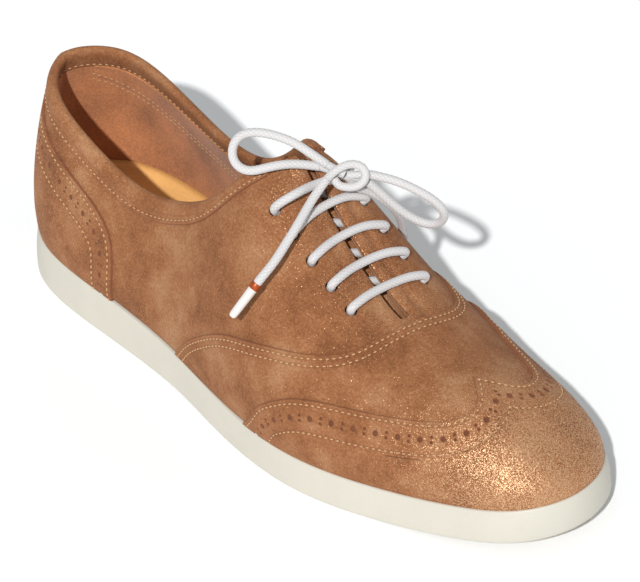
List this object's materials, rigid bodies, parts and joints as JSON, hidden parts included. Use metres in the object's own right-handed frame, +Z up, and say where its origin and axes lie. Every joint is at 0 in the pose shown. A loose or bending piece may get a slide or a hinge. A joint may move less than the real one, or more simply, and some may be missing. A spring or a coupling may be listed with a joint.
{
  "type": "swing dance shoe",
  "caption": "Low lace-up wing-cap dance shoe for the right foot: bronze suede upper, flat cream unit sole, white round lace tied in a bow.",
  "frame": {"origin": "on the floor, under the middle of the shoe's box", "axes": "+X from heel to toe, +Y to the medial (inner) side, +Z up from the floor"},
  "size_m": [0.27, 0.0901, 0.1006],
  "materials": {
    "sole": "satin cream moulding",
    "suede": "bronze-dusted suede",
    "insole": "smooth tan leather",
    "lace": "woven round cotton",
    "aglet": "clear sleeve over the lace"
  },
  "bodies": {
    "root": {"sole": "sole", "insole": "insole", "upper": "suede", "wing_cap": "suede", "heel_counter": "suede", "collar_band": "suede", "tongue": "suede", "lace_bar_1": "lace", "lace_bar_2": "lace", "lace_bar_3": "lace", "lace_bar_4": "lace", "lace_lead_lateral": "lace", "lace_lead_medial": "lace", "lace_knot": "lace", "lace_loop_lateral": "lace", "lace_loop_medial": "lace", "lace_end_lateral": "lace", "lace_end_medial": "lace", "aglet_lateral": "aglet", "aglet_medial": "aglet"}
  },
  "joints": []
}
